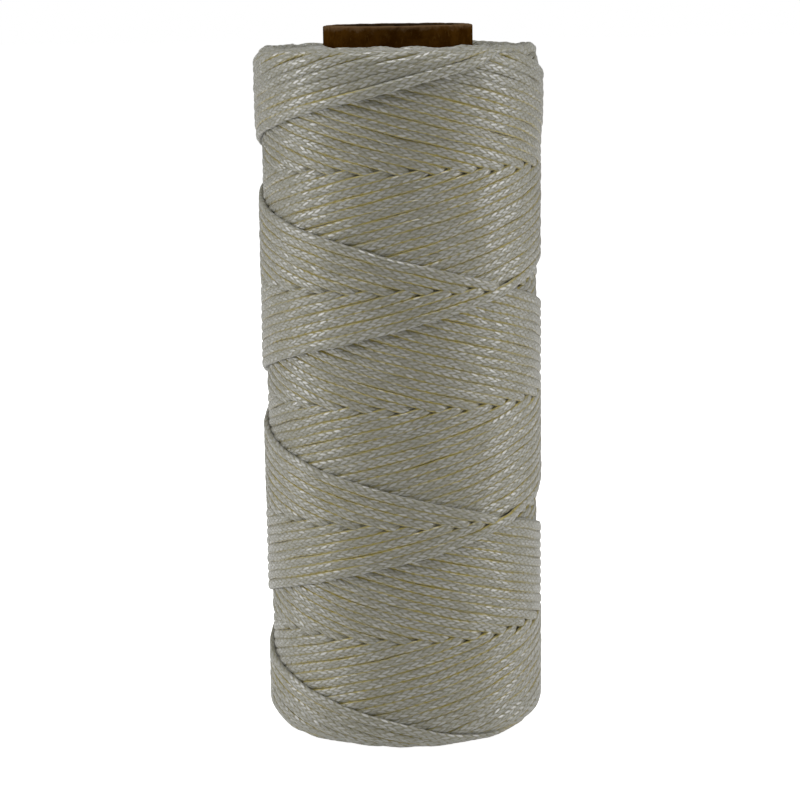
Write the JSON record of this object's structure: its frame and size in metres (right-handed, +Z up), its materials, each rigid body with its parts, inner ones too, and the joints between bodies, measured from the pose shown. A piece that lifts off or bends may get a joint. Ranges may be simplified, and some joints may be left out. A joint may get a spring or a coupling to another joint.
{
  "type": "thread spool",
  "caption": "Straight-sided cross-wound package of braided white thread on a plain paper tube core, open right through the bore.",
  "frame": {"origin": "centre of the core's bore at its lower end, on the surface that the spool stands on", "axes": "+Z up along the core's axis; -Y is the side seen from the front; the last run of thread climbs counter-clockwise seen from above and reaches the top edge at the front right"},
  "size_m": [0.043, 0.043, 0.111],
  "materials": {
    "kraft_liner": "matte brown kraft liner of the bore",
    "core_board": "matte grey-brown board, seen at the two rims",
    "kraft_wrap": "matte dark brown kraft wrap",
    "braided_thread": "off-white braided filament thread, soft sheen"
  },
  "bodies": {
    "root": {"core_liner": "kraft_liner", "core_inner_board": "core_board", "core_outer_board": "core_board", "core_wrap": "kraft_wrap", "buried_winding": "braided_thread", "outer_thread": "braided_thread"}
  },
  "joints": []
}
